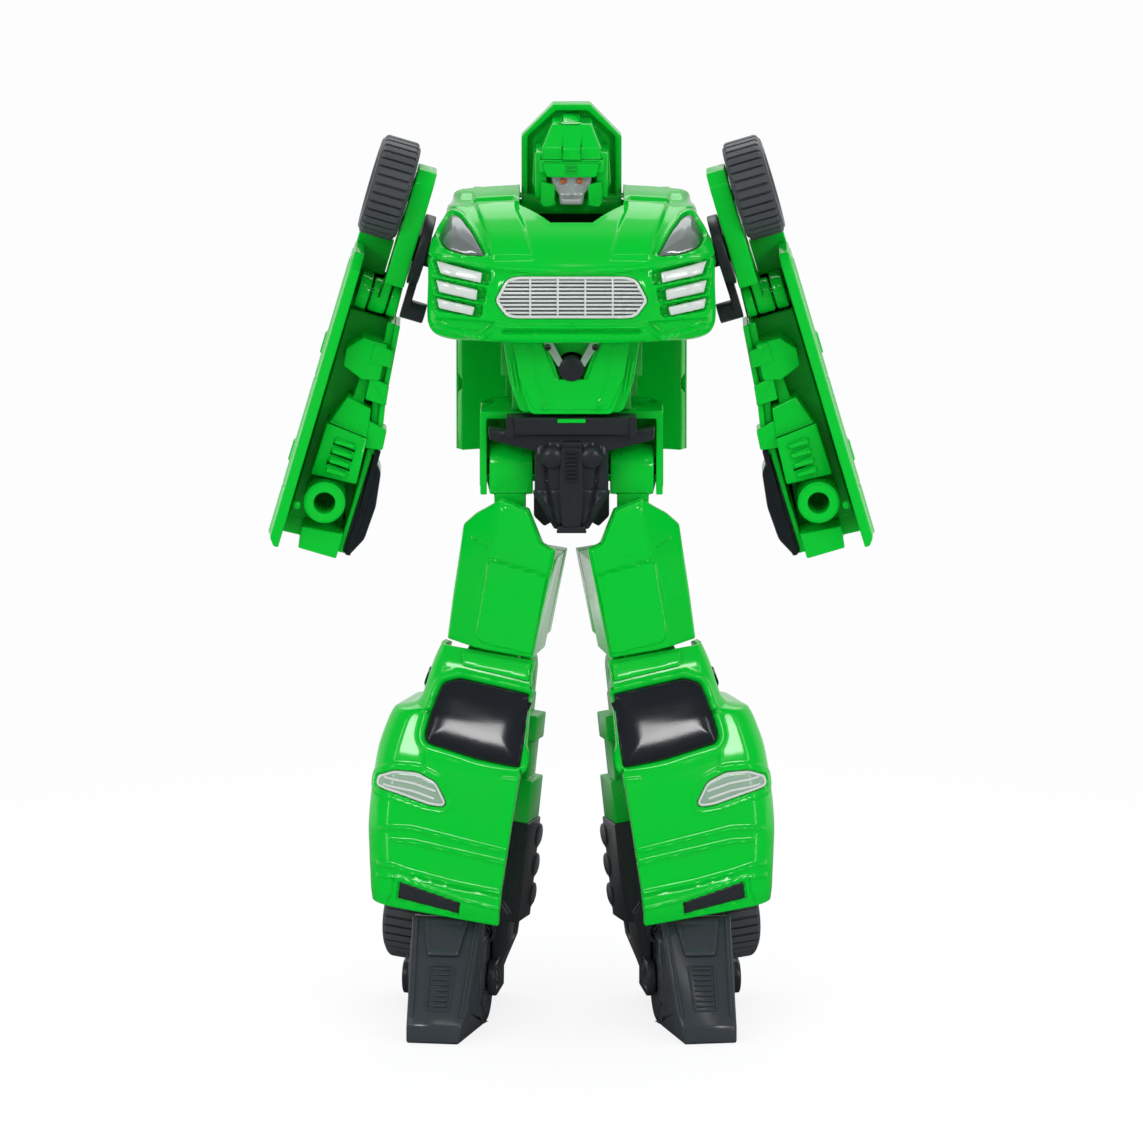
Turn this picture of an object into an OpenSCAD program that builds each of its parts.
// Transforming robot car, standing as a robot.
// +X is the robot's left, -Y its front, +Z up; the origin is on the floor, under the middle of its box.
// Everything is in millimetres. Each side's pieces are drawn for the left and mirrored for the right.

/* [Legs] */
// Hip pivot to knee pivot
thigh_len = 33; // [30:1:38]
// Knee pivot to the floor, along the leg
shin_len = 80.6; // [79:0.1:92]
// Sideways distance from the middle to each hip pivot
hip_half = 14; // [13.5:0.5:17]
// How far each leg leans out
leg_splay = 6; // [2:1:8]
// How far each leg is turned outwards
leg_yaw = 17; // [10:1:20]

/* [Body] */
// Hip swing axis to the waist plane
pelvis_h = 14.2; // [14:0.1:17]
// Waist plane to the lower edge of the chest
belly_h = 18.2; // [17:0.1:22]
// Height of the car front that forms the chest
chest_h = 31.5; // [30:0.5:36]
// Half of the chest's width
chest_half = 33.2; // [30:0.2:34]
// How far the car front stands before the shoulder axis
chest_front = 27.5; // [26:0.5:32]
// Plate behind the head, from its hinge to its tip
plate_h = 23; // [21:0.5:26]

/* [Arms] */
// Middle of the robot to each shoulder pivot
shoulder_half = 30; // [30:0.5:33]
// How far each arm leans out
arm_splay = 16.5; // [10:0.5:18]
// Shoulder pivot to the hand end
arm_len = 73.5; // [70:0.5:84]

/* [Wheels] */
// Tyre radius
tyre_r = 11.7; // [10:0.1:12]
// Tyre width
tyre_w = 9; // [7:0.5:9.5]

/* [Fits] */
// Wall of the moulded shells
wall = 1.8; // [1.5:0.1:2.2]
// Radial running clearance of a pin
play = 0.08; // [0.05:0.01:0.1]
// Gap between pieces that pass each other
gap = 0.4; // [0.3:0.05:0.6]
// Bore of the accessory socket in each hand
socket_d = 5; // [4.8:0.1:5.2]

/* [Hidden] */
$fn = 48;
SIDES = ["left", "right"];

// Where the shoulder and hip axes lie, front to back
axis_y = 4.9;
GREEN = [0.0, 0.72, 0.18];
BLACK = [0.13, 0.13, 0.15];
SILVER = [0.75, 0.76, 0.78];
GLASS = [0.55, 0.58, 0.57];

// Heights, from the floor up
leg_len = thigh_len + shin_len;
hip_z = leg_len * cos(leg_splay);
hip_drop = 14;
swing_z = hip_z + hip_drop;
waist_z = swing_z + pelvis_h;
chest_z = waist_z + belly_h;
bonnet_top = chest_z + chest_h;
shoulder_z = chest_z + 16.6;
head_z = bonnet_top - 4.4;
head_y = 8;

// Arm: outwards is +X and the hand is down, from the shoulder pivot
pin_r = 1.3;
disc_r = 8.2;
disc_in = 3.1;
disc_w = 2.4;
bracket_in = disc_in + disc_w + gap;
bracket_w = 4.5;
bracket_out = bracket_in + bracket_w;
axle_up = 11.7;
axle_r = 1.5;
stub_r = 3;
elbow_down = 13;
elbow_y = 1;
elbow_r = 3.9;
tongue_w = 2;
tyre_in = bracket_out + gap;
door_out = 19;
door_wall = 2.4;
door_half = 10.5;
bar_half = 6.5;
bar_low = 8.7;
arm_scale = (arm_len - 14) / 59.5;

// Leg: the knee and the wheel lie on the leg's own axis frame, with its origin at the hip pivot
link_r = 4.2;
link_w = 6.2;
ear_w = 2.2;
post_r = 2.8;
post_len = 18;
knee_y = 1;
knee_r = 4.6;
knuckle = [-6, 4];
shell_in = -13.7;
wheel_y = 10;
wheel_up = 18.5;
rear_in = 11.5;
foot_x = 12;
foot_yaw = 8;
toe_y = -12;
toe_z = 10;

module block(lo, hi) translate(lo) cube(hi - lo);
module xrod(r, x0, x1) translate([x0, 0, 0]) rotate([0, 90, 0]) cylinder(r = r, h = x1 - x0);
module yrod(r, y0, y1) translate([0, y0, 0]) rotate([-90, 0, 0]) cylinder(r = r, h = y1 - y0);
module zrod(r, z0, z1) translate([0, 0, z0]) cylinder(r = r, h = z1 - z0);
// A flat outline in X and Z, made solid from y0 to y1
module slab_y(outline, y0, y1) translate([0, y1, 0]) rotate([90, 0, 0]) linear_extrude(y1 - y0) polygon(outline);
// A flat outline in Y and Z, made solid from x0 to x1
module slab_x(outline, x0, x1)
    translate([x0, 0, 0]) rotate([90, 0, 90]) linear_extrude(x1 - x0) polygon(outline);

// Frames in which the pieces are drawn
module on_side(name) {
    if (name == "left") children();
    else mirror([1, 0, 0]) children();
}
module in_body() translate([0, axis_y, 0]) children();
module in_arm() translate([shoulder_half, axis_y, shoulder_z]) rotate([0, -arm_splay, 0]) children();
module in_hip() translate([hip_half, axis_y, hip_z]) children();
module in_splay() in_hip() rotate([0, -leg_splay, 0]) children();
module in_leg() in_splay() rotate([0, 0, leg_yaw]) children();
module in_shin() in_leg() translate([0, 0, -thigh_len]) children();
module in_foot() translate([hip_half + foot_x, axis_y, 0]) rotate([0, 0, foot_yaw]) children();

// Linear interpolation in a table of [position, value] rows
function between(rows, at, i = 0) =
    at <= rows[0][0] ? rows[0][1]
    : i >= len(rows) - 1 ? rows[len(rows) - 1][1]
    : at <= rows[i + 1][0]
        ? rows[i][1] + (rows[i + 1][1] - rows[i][1]) * (at - rows[i][0]) / (rows[i + 1][0] - rows[i][0])
    : between(rows, at, i + 1);

// A thin shell between two grids of points, outer[i][j] and inner[i][j]
module shell(outer, inner) {
    rows = len(outer);
    cols = len(outer[0]);
    count = rows * cols;
    points = concat([for (row = outer, p = row) p], [for (row = inner, p = row) p]);
    sheet = [for (i = [0:rows - 2], j = [0:cols - 2]) let (a = i * cols + j)
        each [[a, a + 1, a + cols + 1], [a, a + cols + 1, a + cols]]];
    rim = concat([for (j = [0:cols - 1]) j],
        [for (i = [1:rows - 1]) i * cols + cols - 1],
        [for (j = [1:cols - 1]) count - 1 - j],
        [for (i = [1:rows - 2]) (rows - 1 - i) * cols]);
    edge = [for (k = [0:len(rim) - 1]) let (a = rim[k], b = rim[(k + 1) % len(rim)])
        each [[b, a, a + count], [b, a + count, b + count]]];
    back = [for (f = sheet) [f[2] + count, f[1] + count, f[0] + count]];
    polyhedron(points, concat(sheet, back, edge), convexity = 6);
}

// ---- Chest: the front of the car ----

// Side view of the bonnet and bumper: [Y, Z above the chest's lower edge], from the rear edge to the floor of it
bonnet_side = [[8, chest_h], [2, chest_h - 0.2], [-5, chest_h - 1.2], [-12, chest_h - 3], [-18, chest_h - 6],
    [-22.5, chest_h - 9.6], [-25.3, chest_h - 13], [-26.7, chest_h - 17], [-27.2, chest_h - 21],
    [-chest_front, 6.4], [-chest_front - 0.2, 4], [-chest_front + 0.8, 1.4], [-chest_front + 4, 0],
    [-chest_front + 8, 0.2]];
// Half width of the chest at each point of that view
bonnet_half = [for (w = [28.6, 28.9, 29.4, 30.9, 32.2, 32.9, 33.2, 33.2, 33.2, 32.8, 32.2, 30.8, 29, 27])
    w * chest_half / 33.2];
chest_core = [4, 12];
fillets = [4.6, 4.6, 4.8, 5.6, 6.6, 7, 7, 7, 7, 7, 7, 7, 7, 7];
side_depth = [0.02, 0.02, 0.03, 0.05, 0.08, 0.12, 0.15, 0.16, 0.16, 0.16, 0.16, 0.14, 0.1, 0.05];

function bonnet_point(i, t, inset) =
    let (c = bonnet_side[i], half = bonnet_half[i] - inset,
        away = [chest_core[0] - c[0], chest_core[1] - c[1]],
        far = norm(away), side = abs(t), r = fillets[i],
        flat = 0.62, bend = 0.86,
        turn = max(0, min(1, (side - flat) / (bend - flat))) * 90,
        x = side < flat ? (half - r) * side / flat : half - r + r * sin(turn),
        crown = 1.6 * pow(min(1, side / flat), 3) * (i > 5 ? 1.6 : 0.6),
        sunk = inset + crown + r * (1 - cos(turn)) + (side > bend ? (side - bend) / (1 - bend) * side_depth[i] * far : 0),
        f = sunk / far)
    [sign(t) * x, c[0] + away[0] * f, c[1] + away[1] * f];
function bonnet_grid(inset) =
    [for (i = [0:len(bonnet_side) - 1]) [for (k = [-12:12]) bonnet_point(i, k / 12, inset)]];

notch_half = 11.8;
notch_front = -15;
module hatch_outline(grow, front)
    polygon([[-notch_half - grow, 40], [-notch_half - grow, front + 7.5], [-4.4 - grow * 0.5, front - grow],
        [4.4 + grow * 0.5, front - grow], [notch_half + grow, front + 7.5], [notch_half + grow, 40]]);

grille_half = 16.6;
grille_low = 1.2;
grille_high = 10.4;
look = 12;
grille_outline = [[-grille_half, 6.2], [3.4 - grille_half, grille_high], [grille_half - 3.4, grille_high],
    [grille_half, 6.2], [grille_half - 3.4, grille_low], [3.4 - grille_half, grille_low]];
lamp_outline_front = [[29.6, 19.9], [26.1, 24.6], [22.9, 22.2], [20, 16.6], [23.8, 15.4], [27.5, 16.4]];
fog_outlines = [[[34, 13.8], [21, 12.4], [21.4, 10.2], [34, 10.4]], [[34, 9.5], [21.6, 8.9], [21.8, 6.7], [34, 6.4]],
    [[34, 5.4], [22, 5.4], [22.4, 3.6], [34, 2.6]]];
bonnet_lift = chest_h - 31.5;

module in_chest() in_body() translate([0, 0, chest_z]) children();
module sheet(inset, depth) shell(bonnet_grid(inset), bonnet_grid(inset + depth));
// A hole or an inlay cut through the car's front, along a line that drops towards the back
module through_front(outline, depth = -6)
    rotate([-look, 0, 0]) translate([0, 0, bonnet_lift]) slab_y(outline, -60, depth);
module grille_hole() through_front(grille_outline);
module lamp_holes() for (s = ["left", "right"]) on_side(s) through_front(lamp_outline_front, -14.5);
module fog_holes() for (s = ["left", "right"]) on_side(s) for (f = fog_outlines) through_front(f, -12);

module bonnet_shell() color(GREEN) in_chest() difference() {
    sheet(0, wall);
    translate([0, 0, chest_h - 12]) linear_extrude(20) hatch_outline(0, notch_front);
    grille_hole();
    lamp_holes();
    fog_holes();
}
module grille() color(SILVER) in_chest() {
    intersection() {
        sheet(wall / 2, wall / 2);
        grille_hole();
    }
    intersection() {
        sheet(0.2, wall / 2);
        grille_hole();
        union() for (k = [0:7])
            through_front([[1 - grille_half, grille_low + 0.5 + k * 1.12], [grille_half - 1, grille_low + 0.5 + k * 1.12],
                [grille_half - 1, grille_low + 1 + k * 1.12], [1 - grille_half, grille_low + 1 + k * 1.12]]);
    }
}
module headlamp_lenses() color(GLASS) in_chest() intersection() {
    sheet(0.3, wall - 0.6);
    lamp_holes();
}
module fog_lamps() color(SILVER) in_chest() intersection() {
    sheet(0.3, wall - 0.6);
    fog_holes();
}

// ---- Torso ----

cavity_half = 12.8;
module torso_frame() color(GREEN) in_body() difference() {
    union() {
        block([-15, 7, waist_z + gap], [15, 10, shoulder_z + 3]);
        block([-13.5, -7, waist_z + gap], [13.5, 7, chest_z - 2]);
        for (s = [-1, 1]) {
            for (y = [-7.2, 4.2]) {
                block([min(s * 14, s * shoulder_half), y, shoulder_z - 2.8],
                    [max(s * 14, s * shoulder_half), y + 3, shoulder_z + 2.8]);
                translate([s * shoulder_half, 0, shoulder_z]) yrod(2.8, y, y + 3);
            }
            block([min(s * 13.4, s * 22), -7.2, shoulder_z - 12], [max(s * 13.4, s * 22), 8, shoulder_z + 6]);
            block([min(s * 12.9, s * 15.2), head_y - 2.4, shoulder_z - 3],
                [max(s * 12.9, s * 15.2), head_y + 2.4, head_z + 1.8]);
            block([min(s * 16.4, s * 20), 7, shoulder_z - 4], [max(s * 16.4, s * 20), 11.4, roof_z - 1]);
            block([min(s * 16.4, s * 20), 8.6, roof_z - 2.3], [max(s * 16.4, s * 20), roof_y, roof_z + 2.3]);
            translate([0, roof_y, roof_z]) xrod(2.3, min(s * 16.4, s * 20), max(s * 16.4, s * 20));
            block([min(s * 13.5, s * 16), -6, waist_z + 8], [max(s * 13.5, s * 16), 8, shoulder_z - 11]);
        }
    }
    for (s = [-1, 1]) translate([s * shoulder_half, 0, shoulder_z]) yrod(pin_r, -8, 8);
    translate([0, head_y, head_z]) xrod(pin_r, -16, 16);
    translate([0, roof_y, roof_z]) xrod(pin_r, -21, 21);
    translate([0, 0, waist_z - 1]) zrod(4 + play, 0, 12);
    translate([0, 0, waist_z + 8]) zrod(6 + gap, 0, 3);
    translate([0, 0, button_z]) yrod(button_stem_r + play, -7.1, -6.3);
}
module torso_back_cover() color(GREEN) in_body() difference() {
    union() {
        block([-15, 10, waist_z + 2], [15, 12, shoulder_z - 4]);
        block([-9, 12, waist_z + 6], [9, 13, shoulder_z - 8]);
    }
    for (s = [-1, 1], z = [waist_z + 5, shoulder_z - 8]) translate([s * 12, 0, z]) yrod(1.9, 11, 14);
}
module torso_screws() color(SILVER) in_body() for (s = [-1, 1], z = [waist_z + 5, shoulder_z - 8])
    translate([s * 12, 0, z]) yrod(1.8, 11, 12);
module shoulder_pins() color(SILVER) in_body() for (s = [-1, 1])
    translate([s * shoulder_half, 0, shoulder_z]) yrod(pin_r, -7.2, 7.2);
module hinge_pins() color(SILVER) in_body() {
    translate([0, head_y, head_z]) xrod(pin_r, -15.2, 15.2);
    translate([0, roof_y, roof_z]) xrod(pin_r, -20, 20);
}

// Belly
button_z = chest_z - 7;
button_r = 2.95;
button_stem_r = 1.6;
button_front = -14.6;
belly_top = 15.6;
belly_low = 10.8;
belly_front = -13.6;
module belly_outline(inset)
    polygon([[-belly_top + inset, belly_h - gap], [-belly_top + 1.6 + inset, belly_h * 0.42],
        [-belly_low - 1 + inset, 1.2], [-belly_low + inset, 0.6], [belly_low - inset, 0.6],
        [belly_low + 1 - inset, 1.2], [belly_top - 1.6 - inset, belly_h * 0.42], [belly_top - inset, belly_h - gap]]);
module abdomen_cover() color(GREEN) in_body() difference() {
    translate([0, -7, waist_z]) rotate([90, 0, 0]) {
        linear_extrude(-belly_front - 9) belly_outline(0);
        linear_extrude(-belly_front - 7) belly_outline(2.2);
    }
    slab_y([[-6.4, chest_z + 1], [-2.6, button_z - 2.6], [2.6, button_z - 2.6], [6.4, chest_z + 1]],
        belly_front - 1, belly_front + 1.8);
    translate([0, 0, button_z]) {
        yrod(button_r + 0.2, belly_front - 1, -8.6);
        yrod(button_stem_r + play, -9, -6);
    }
}
module belly_button() color(BLACK) in_body() translate([0, 0, button_z]) {
    yrod(button_r, button_front, -9.9);
    yrod(button_stem_r, -10, -7.7);
}

// ---- Head ----

module in_head() in_body() translate([0, head_y, head_z]) children();
plate_half = 11.4;
plate_t = 2.4;
module plate_outline(inset)
    polygon([[-plate_half + inset, -1.5 + inset], [-plate_half + inset, plate_h - 7.4],
        [-4.2 + inset * 0.4, plate_h - inset], [4.2 - inset * 0.4, plate_h - inset],
        [plate_half - inset, plate_h - 7.4], [plate_half - inset, -1.5 + inset]]);
module head_plate() color(GREEN) in_head() difference() {
    union() {
        translate([0, 1.4 + plate_t, 0]) rotate([90, 0, 0]) linear_extrude(plate_t) plate_outline(0);
        translate([0, 1.4, 0]) rotate([90, 0, 0]) difference() {
            linear_extrude(2.2) plate_outline(0);
            translate([0, 0, -1]) linear_extrude(5) plate_outline(1.5);
        }
        xrod(2.4, -plate_half, plate_half);
        block([-4, -3, -1.5], [4, 1.6, 2.6]);
    }
    xrod(pin_r + play, -20, 20);
}
helmet_half = 8.2;
module helmet() color(GREEN) in_head() difference() {
    union() {
        hull() {
            block([-6.6, -13.5, 10], [6.6, 1.4, 15]);
            block([-4.4, -9.4, 18], [4.4, 1.4, 20]);
        }
        block([-7.2, -14.4, 9.4], [7.2, -4, 12.6]);
        for (s = [-1, 1]) {
            block([min(s * 5.6, s * helmet_half), -12.6, 3.4], [max(s * 5.6, s * helmet_half), 1.4, 14]);
            block([min(s * 3.6, s * 6.6), -13.4, 1.6], [max(s * 3.6, s * 6.6), -8, 6]);
        }
        block([-5.7, -8, 2.6], [5.7, 1.4, 12]);
        slab_x([[-14.2, 12], [-14.2, 15], [-9, 20.2], [-4, 20.8], [1.4, 20.8], [1.4, 12]], -2.1, 2.1);
    }
    block([-5.2, -16, 3], [5.2, -10.8, 9.4]);
}
module face() color(SILVER) in_head() {
    block([-4.9, -12.2, 5], [4.9, -10.8, 9.4]);
    block([-3.1, -12.6, 1.9], [3.1, -10.8, 5]);
}

// ---- Roof and windscreen, folded down behind the back ----

roof_y = 13.6;
roof_z = shoulder_z + 11;
roof_low = waist_z - 14.6;
roof_half = 26.2;
roof_side = [[roof_y + 1.9, roof_z - 4], [22.6, shoulder_z - 14], [24.4, shoulder_z - 22], [25, roof_low + 6], [25, roof_low]];
function roof_point(i, t, inset) =
    let (c = roof_side[i], side = abs(t), drop = 3.2 * pow(side, 4), half = roof_half - inset * 0.6)
    [t * half * (i == 0 ? 0.86 : i == 1 ? 0.96 : 1), c[0] - drop * 0.8 - inset, c[1]];
function roof_grid(inset, first, last) =
    [for (i = [first:last]) [for (k = [8:-1:-8]) roof_point(i, k / 8, inset)]];
module roof_panel() color(GREEN) in_body() difference() {
    union() {
        shell(roof_grid(0, 1, 4), roof_grid(wall, 1, 4));
        for (s = [-1, 1]) difference() {
            slab_x([[roof_y - 2, roof_z - 2.2], [roof_y - 1.2, roof_z + 2.2], [roof_y + 1.4, roof_z + 2.2],
                [roof_y + 2.2, roof_z - 1], [23.2, shoulder_z - 13], [23.2, shoulder_z - 20],
                [20.6, shoulder_z - 20]],
                s > 0 ? 20.4 : -22.4, s > 0 ? 22.4 : -20.4);
        }
    }
    translate([0, roof_y, roof_z]) xrod(pin_r + play, -30, 30);
    for (s = [-1, 1]) translate([s * (roof_half + 1.4), 0, waist_z + 1]) yrod(2.6, 10, 30);
}
module windscreen() color(BLACK) in_body() difference() {
    shell(roof_grid(0, 0, 1), roof_grid(wall, 0, 1));
    for (s = [-1, 1]) block([s > 0 ? 20.1 : -22.7, 5, shoulder_z - 30], [s > 0 ? 22.7 : -20.1, 40, roof_z + 8]);
}

// ---- Pelvis ----

core_half = 8.4;
hip_out = 19;
skirt_half = 20.8;
module pelvis_core() color(BLACK) in_body() difference() {
    union() {
        block([-core_half, -10.4, swing_z - 5], [core_half, 6, swing_z + 9]);
        slab_y([[-core_half, swing_z - 5], [-3.9, hip_z + 1.4], [3.9, hip_z + 1.4], [core_half, swing_z - 5]], -10, 4);
        slab_y([[-2.4, swing_z - 6], [-2.4, swing_z + 8], [2.4, swing_z + 8], [2.4, swing_z - 6]], -12, -10);
        slab_y([[-core_half, swing_z + 5.6], [-18.6, swing_z + 8.2], [-19, swing_z + 10.8], [-core_half, swing_z + 9.6],
            [core_half, swing_z + 9.6], [19, swing_z + 10.8], [18.6, swing_z + 8.2], [core_half, swing_z + 5.6]], -10.6, -6.4);
        slab_y([[-14.6, waist_z - 4.4], [-14.6, waist_z - gap], [14.6, waist_z - gap], [14.6, waist_z - 4.4]], -12.6, -7);
        block([-core_half, -9, waist_z - 6], [core_half, 6, waist_z - 2 - gap]);
    }
    translate([0, 0, swing_z]) xrod(hip_pin_r, -core_half - 1, core_half + 1);
    translate([0, 0, waist_z - 10]) zrod(2.6, 0, 12);
}
module pelvis_skirt() color(GREEN) in_body() difference() {
    union() {
        block([-17.6, 10.2, swing_z - 5.6], [17.6, 12, waist_z - gap]);
        for (s = [-1, 1]) {
            block([min(s * 19.3, s * skirt_half), -5, swing_z - 5.6], [max(s * 19.3, s * skirt_half), 5.4, waist_z - gap]);
            slab_z([[s * 19.3, 5], [s * skirt_half, 5], [s * 19.6, 9.4], [s * 17.6, 12], [s * 16.6, 12],
                [s * 16.6, 10.4], [s * 19.3, 8.4]],
                swing_z - 5.6, waist_z - gap);
        }
        block([-20, -5, waist_z - 2.2], [20, 6.2, waist_z - gap]);
        block([-17.6, 6, waist_z - 2.2], [17.6, 10.4, waist_z - gap]);
    }
    translate([0, 0, swing_z]) xrod(hip_pin_r, -30, 30);
    translate([0, 0, waist_z - 10]) zrod(2.6, 0, 12);
}
module slab_z(outline, z0, z1) translate([0, 0, z0]) linear_extrude(z1 - z0) polygon(outline);
hip_pin_r = 2;
module waist_post() color(BLACK) in_body() translate([0, 0, waist_z]) {
    zrod(2.6, -6, 0);
    zrod(4, -gap, 8.4);
    zrod(6, 8.2, 10.4);
}
module hip_pins() color(SILVER) in_body() for (s = [-1, 1]) translate([0, 0, swing_z])
    xrod(hip_pin_r, s > 0 ? core_half - 4 : -skirt_half, s > 0 ? skirt_half : -core_half + 4);

// ---- Arm, in its own frame: X outwards, -Z towards the hand ----

module shoulder_link() color(BLACK) in_arm() difference() {
    union() {
        yrod(2.8, -3.9, 3.9);
        block([0, -3.9, -2.8], [disc_in, 3.9, 2.8]);
        xrod(disc_r, disc_in, disc_in + disc_w);
        xrod(3, disc_in, bracket_out - 0.3);
        xrod(4, bracket_out - 1.3, bracket_out - 0.3);
        block([disc_in, -2.3, -14], [disc_in + disc_w - 0.7, 2.3, -6]);
        translate([0, 0, -14]) xrod(2.3, -0.6, disc_in + disc_w - 0.7);
    }
    yrod(pin_r + play, -5, 5);
}
module arm_bracket() color(GREEN) in_arm() difference() {
    union() {
        slab_x([[-bar_half, -bar_low], [bar_half, -bar_low], [bar_half, axle_up + 3.8], [bar_half - 3, axle_up + 6.8],
            [3 - bar_half, axle_up + 6.8], [-bar_half, axle_up + 3.8]], bracket_in, bracket_out);
        translate([0, elbow_y, -elbow_down]) xrod(elbow_r, 8.4, 12.4);
        block([8.4, elbow_y - elbow_r, -elbow_down], [bracket_out, elbow_y + elbow_r, -bar_low + 1]);
    }
    xrod(3 + play, 0, 20);
    xrod(4.2, bracket_out - 1.5, 20);
    translate([0, elbow_y, -elbow_down]) xrod(pin_r + play, 0, 20);
    translate([0, 0, axle_up]) {
        xrod(axle_r + play, 0, 20);
        xrod(2.6, 0, bracket_in + 1.3);
    }
}
hub_r = 8;
module tyre(x0) difference() {
    xrod(tyre_r, x0, x0 + tyre_w);
    xrod(hub_r, x0 - 1, x0 + tyre_w + 1);
}
module hub(x0, axle_from) {
    xrod(hub_r, x0 + 1, x0 + tyre_w - 1.4);
    xrod(3, x0 + 0.4, x0 + tyre_w - 0.6);
    xrod(axle_r, axle_from, x0 + 2);
}
module front_tyre() color(BLACK) in_arm() translate([0, 0, axle_up]) tyre(tyre_in);
module front_hub() color(BLACK) in_arm() translate([0, 0, axle_up]) {
    hub(tyre_in, bracket_in + 0.3);
    xrod(2.3, bracket_in + 0.2, bracket_in + 1.1);
}
module elbow_pin() color(SILVER) in_arm() translate([0, elbow_y, -elbow_down]) xrod(pin_r, bracket_in, 15.5);

// Inner edge of the forearm at distances down the arm
inner_rows = [[8, 5.6], [16, 5.4], [36, 3.5], [46, 1.4], [60, 1.0], [70, 0.9], [arm_len, 1.4]];
function arm_in(l) = between(inner_rows, l);
socket_l = 14 + 47 * arm_scale;
socket_a = 9.3;
inner_l = [18, 26, 36, 46, 60, arm_len - 1];
module forearm() color(GREEN) in_arm() difference() {
    union() {
        slab_x([[-door_half + 4, -3.5], [door_half - 4, -3.5], [door_half, -7], [door_half, -arm_len],
            [-door_half, -arm_len], [-door_half, -7]], door_out - door_wall, door_out);
        slab_y([[door_out - 1, -9], [arm_in(9), -9], for (l = inner_l) [arm_in(l), -l],
            [door_out - 1, -arm_len]], door_half - 2.4, door_half);
        slab_y([for (l = inner_l) [arm_in(l), -l], for (k = [5:-1:0]) [arm_in(inner_l[k]) + 1.8, -inner_l[k]]],
            -1, door_half - 1);
        for (x = [[bracket_in, 8], [12.8, 15.5]]) {
            translate([0, elbow_y, -elbow_down]) xrod(elbow_r, x[0], x[1]);
            block([x[0], elbow_y, -elbow_down - elbow_r], [x[1], door_half - 1, -elbow_down + elbow_r]);
        }
        slab_y([[5.6, -22.6], [11.4, -22.6], [14.4, -26], [14, -30], [9, -32], [5, -31]], -4, door_half - 1);
        slab_y([[7, -31], [9.4, -31], [9.8, -38], [7, -38]], -1, door_half - 1);
        slab_y([[5, -38], [11, -36.8], [13.4, -44], [4, -45]], -3.4, door_half - 1);
        slab_y([[4, -44.6], [13.8, -43.6], [14, -56], [3.4, -55.4]], -5, door_half - 1);
        for (k = [0:3]) slab_y([[6, -46.4 - 2.3 * k], [11, -46 - 2.3 * k], [11, -47.2 - 2.3 * k], [6, -47.6 - 2.3 * k]],
            -5.8, 0);
        translate([socket_a, 0, -socket_l]) yrod(4.7, -8, door_half - 1);
        slab_y([[3, -67.5], [12.6, -68.4], [12, -arm_len], [3, -arm_len]], -4.5, door_half - 1);
    }
    translate([socket_a, 0, -socket_l]) yrod(socket_d / 2, -9, 6);
    translate([0, elbow_y, -elbow_down]) xrod(pin_r, 0, 15.5);
    slab_y([[door_out - 2, -arm_len - 1], [door_out + 1, -arm_len - 1], [door_out + 1, -arm_len + 3]], -20, 20);
}
module side_window() color(BLACK) in_arm()
    slab_y([for (l = inner_l) [arm_in(l), -l], for (k = [5:-1:0]) [arm_in(inner_l[k]) - 1.3, -inner_l[k]]],
        -2, door_half - 0.6);

// ---- Leg, in its own frame: X outwards, -Y forwards, -Z towards the floor ----

module hip_block() color(GREEN) in_hip() difference() {
    union() {
        translate([0, 0, hip_drop]) xrod(5.4, -5.2, 4.7);
        block([-5.2, -5.4, 8.6], [4.7, 5.4, hip_drop]);
        for (y = [-5.6, 3.4]) {
            yrod(3.6, y, y + 2.2);
            block([-3.6, y, 0], [3.6, y + 2.2, 9]);
        }
    }
    translate([0, 0, hip_drop]) xrod(hip_pin_r + play, -10, 10);
    yrod(1.8 + play, -10, 10);
}
module hip_link() color(BLACK) in_splay() {
    yrod(link_r, -link_w / 2, link_w / 2);
    yrod(1.8, -5.5, 5.5);
    zrod(post_r, -18.2, -2);
    zrod(3.8, -18.2, -16.6);
}
low = -thigh_len + 5.5;
thigh_outline = [[0, 8.2], [-6.3, 6.6], [-10.4, -0.7], [-13.6, -1.7], [-11.2, low], [10.4, low + 0.2], [9.3, 0],
    [6, 3.5]];
module thigh_hollows() {
    zrod(7.3, -4.4, 20);
    block([-15, -7.4, -4.4], [-5, 9, 20]);
    block([-5.1, -7.4, -0.5], [12, 9, 20]);
    zrod(post_r + play, -18.6, 0);
    zrod(4.1, -18.5, -16.2);
}
module thigh_front() color(GREEN) in_leg() difference() {
    union() {
        slab_y(thigh_outline, -9.4, 4.2);
        slab_y([[-4.6, -9.6], [-10.6, -8.4], [-9.2, low + 2], [4.4, low + 2], [4.6, -6.2]], -10, -9);
        translate([0, knee_y, -thigh_len]) xrod(knee_r, knuckle[0], knuckle[1]);
        block([knuckle[0], -3.6, -thigh_len], [knuckle[1], 4.2, low + 1]);
    }
    thigh_hollows();
    block([-10, -7.4, low + 4], [-5.2, 5, -6.4]);
    block([5.2, -7.4, low + 4], [6.4, 5, -6]);
    translate([0, knee_y, -thigh_len]) xrod(pin_r + play, -10, 10);
}
module thigh_back() color(GREEN) in_leg() difference() {
    slab_y([[-12.6, -3], [-11.2, low + 3], [9.9, low + 3], [9.1, -3]], 4.2, 8);
    thigh_hollows();
    block([-9.6, 4, low + 6], [-5.6, 6, -6]);
}
module knee_pin() color(SILVER) in_shin() translate([0, knee_y, 0]) xrod(pin_r, -8.6, 6.6);

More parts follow.
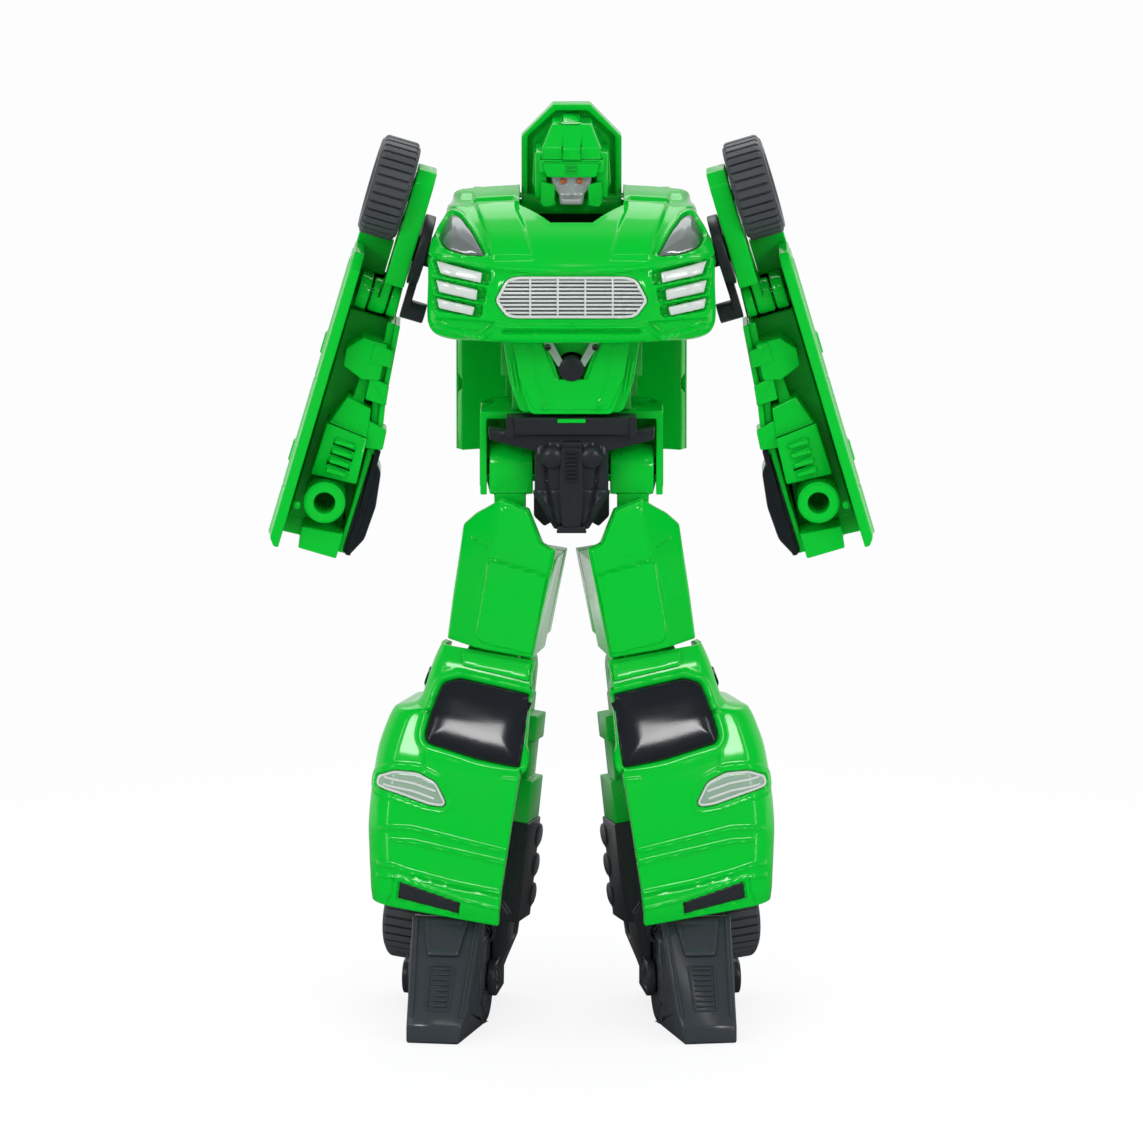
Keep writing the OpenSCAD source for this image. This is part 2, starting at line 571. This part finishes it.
// The car's rear corner. Rows: height from the knee, front, outer side, back of the side, corner radius, inner edge
shin_rows = [[5, -8.5, 11.8, -2, 4, -11.4], [1, -10.5, 12.8, 0, 4.5, -11.7], [-3, -11.5, 13.8, 2, 5, -12],
    [-8.5, -13.8, 15.2, 4.8, 6, -12.6], [-12, -15.2, 20.6, 7, 6.6, -12.9], [-15, -16.4, 21.5, 9, 7, -13.2],
    [-20, -18.2, 22.3, 11.5, 7.5, -13.6], [-24, -19.2, 22.5, 12, 8, shell_in], [-30, -20.4, 22.4, 12, 8, shell_in],
    [-37, -21.6, 21.9, 12, 8, shell_in], [-43, -22.6, 20.8, 10.5, 8, shell_in], [-47, -23.2, 20, 7, 8, shell_in],
    [-51, -23.2, 19.4, 3.4, 8, shell_in], [-54.5, -22.4, 18.9, 0.4, 8, shell_in]];
function rear_point(row, t, inset) =
    let (f = row[1] + inset, o = row[2] - inset, r = row[4] - inset * 0.8, flat = 0.5, bend = 0.76)
    t <= flat ? [row[5] + (o - r - row[5]) * t / flat, f + 0.5 * pow(t / flat, 2), row[0]]
    : t <= bend ? let (a = (t - flat) / (bend - flat) * 90) [o - r + r * sin(a), f + 0.5 + (r - 0.5) * (1 - cos(a)), row[0]]
    : [o, f + r + (row[3] - f - r) * (t - bend) / (1 - bend), row[0]];
function rear_grid(inset) = [for (row = shin_rows) [for (k = [0:16]) rear_point(row, k / 16, inset)]];
window_outline = [[-12.4, -2.4], [-3.7, -1.9], [5.2, -1.5], [8.6, -2.8], [10.2, -5.6], [10.8, -14.6], [10.2, -16.2],
    [-3.2, -18.1], [-13.2, -18]];
lamp_outline = [[21, -25.8], [16.2, -23.6], [10.5, -23], [5.5, -24.5], [2.3, -28.8], [3.2, -29.8], [6.4, -30],
    [15.4, -28.6], [21, -28.2]];
module rear_surface(inset, depth) shell(rear_grid(inset), rear_grid(inset + depth));
module shin_shell() color(GREEN) in_shin() difference() {
    rear_surface(0, wall);
    slab_y(concat(window_outline, [[-30, -18], [-30, -2.4]]), -40, -6);
    slab_y(lamp_outline, -40, -9);
}
module rear_window() color(BLACK) in_shin() intersection() {
    rear_surface(0.3, wall - 0.6);
    slab_y(window_outline, -40, -6);
}
module tail_lamp() color(GLASS) in_shin() intersection() {
    rear_surface(0.2, wall - 0.6);
    slab_y(lamp_outline, -40, -9);
}
frame_low = -34;
module shin_frame() color(GREEN) in_shin() difference() {
    union() {
        block([-8.6, -6, frame_low], [6.6, 6.4, -5.4]);
        for (x = [[-8.6, -6.3], [4.3, 6.6]]) {
            translate([0, knee_y, 0]) xrod(knee_r, x[0], x[1]);
            block([x[0], -3.6, -6], [x[1], 5.6, 0]);
        }
        block([-12.4, -4, -15], [-8, 3, -9]);
        block([-11.4, -3, -24], [-8, 3, -15]);
        block([-13, -5, frame_low], [-8, 4, -24]);
        slab_x([[-5, -9], [-11.4, -9], [-15.4, -20], [-17.5, -30], [-17.5, frame_low], [-5, frame_low]], -1, 1);
        block([6, -1, frame_low], [16.4, 1, -24]);
    }
    block([-6.4, -3, frame_low + 5], [4.4, 7, -8]);
    translate([0, knee_y, 0]) xrod(pin_r, -20, 20);
}
wheel_z = -(shin_len - wheel_up);
module ankle_frame() color(BLACK) difference() {
    union() {
        in_shin() {
            block([-9, -6, wheel_z + 4], [6.6, 12, frame_low]);
            for (z = [-38.5, -45.5, -52.5]) translate([0, 5, z]) xrod(2.7, -13.4, -8);
            block([-13.2, -5, -57.5], [-8, 5, frame_low]);
        }
        in_foot() {
            slab_y([[-6, 0], [6, 0], [8, 6], [8, 28], [-9, 30], [-13, 24], [-11.5, 14], [-9, 8]], -8, 16);
            for (x = [[-10.8, -8.9], [8.9, 10.8]]) {
                translate([0, toe_y, toe_z]) xrod(4, x[0], x[1]);
                block([x[0], toe_y, toe_z - 4], [x[1], -2, toe_z + 4]);
            }
            for (x = [[-10.8, -6], [6, 10.8]]) block([x[0], -6, toe_z - 4], [x[1], -1.4, toe_z + 4]);
        }
    }
    in_foot() translate([0, toe_y, toe_z]) {
        xrod(10.4, -8.9, 8.9);
        xrod(2 + play, -20, 20);
    }
    in_shin() translate([0, wheel_y, wheel_z]) {
        xrod(tyre_r + 0.6, rear_in - gap, 40);
        xrod(axle_r + play, -20, 40);
        xrod(2.6, -20, 0);
    }
}
module rear_tyre() color(BLACK) in_shin() translate([0, wheel_y, wheel_z]) tyre(rear_in);
module rear_hub() color(BLACK) in_shin() translate([0, wheel_y, wheel_z]) {
    hub(rear_in, -1.2);
    xrod(2.3, -1.6, -0.2);
}
module toe() color(BLACK) in_foot() {
    intersection() {
        slab_x([[toe_y, 0], [toe_y, 21], [-13, 25], [-17, 25.5], [-35.5, 4.6], [-36, 3.6], [-36, 0.5], [-35.5, 0]], -12, 12);
        slab_z([[-8.5, toe_y + 1], [8.5, toe_y + 1], [6.6, -37], [-6.6, -37]], 0, 30);
    }
    translate([0, toe_y, toe_z]) {
        xrod(10, -8.5, 8.5);
        xrod(2, -10.7, 10.7);
    }
}

// ---- One part of the product for each node ----

torso_frame();
bonnet_shell();
grille();
headlamp_lenses();
fog_lamps();
abdomen_cover();
torso_back_cover();
torso_screws();
shoulder_pins();
hinge_pins();
belly_button();
head_plate();
helmet();
face();
roof_panel();
windscreen();
pelvis_core();
pelvis_skirt();
waist_post();
hip_pins();
on_side("left") shoulder_link();  // left_shoulder_link
on_side("right") shoulder_link();  // right_shoulder_link
on_side("left") arm_bracket();  // left_arm_bracket
on_side("right") arm_bracket();  // right_arm_bracket
on_side("left") front_tyre();  // left_front_tyre
on_side("right") front_tyre();  // right_front_tyre
on_side("left") front_hub();  // left_front_hub
on_side("right") front_hub();  // right_front_hub
on_side("left") forearm();  // left_forearm
on_side("right") forearm();  // right_forearm
on_side("left") side_window();  // left_side_window
on_side("right") side_window();  // right_side_window
on_side("left") elbow_pin();  // left_elbow_pin
on_side("right") elbow_pin();  // right_elbow_pin
on_side("left") hip_block();  // left_hip_block
on_side("right") hip_block();  // right_hip_block
on_side("left") hip_link();  // left_hip_link
on_side("right") hip_link();  // right_hip_link
on_side("left") thigh_front();  // left_thigh_front
on_side("right") thigh_front();  // right_thigh_front
on_side("left") thigh_back();  // left_thigh_back
on_side("right") thigh_back();  // right_thigh_back
on_side("left") knee_pin();  // left_knee_pin
on_side("right") knee_pin();  // right_knee_pin
on_side("left") shin_shell();  // left_shin_shell
on_side("right") shin_shell();  // right_shin_shell
on_side("left") rear_window();  // left_rear_window
on_side("right") rear_window();  // right_rear_window
on_side("left") tail_lamp();  // left_tail_lamp
on_side("right") tail_lamp();  // right_tail_lamp
on_side("left") shin_frame();  // left_shin_frame
on_side("right") shin_frame();  // right_shin_frame
on_side("left") ankle_frame();  // left_ankle_frame
on_side("right") ankle_frame();  // right_ankle_frame
on_side("left") rear_tyre();  // left_rear_tyre
on_side("right") rear_tyre();  // right_rear_tyre
on_side("left") rear_hub();  // left_rear_hub
on_side("right") rear_hub();  // right_rear_hub
on_side("left") toe();  // left_toe
on_side("right") toe();  // right_toe
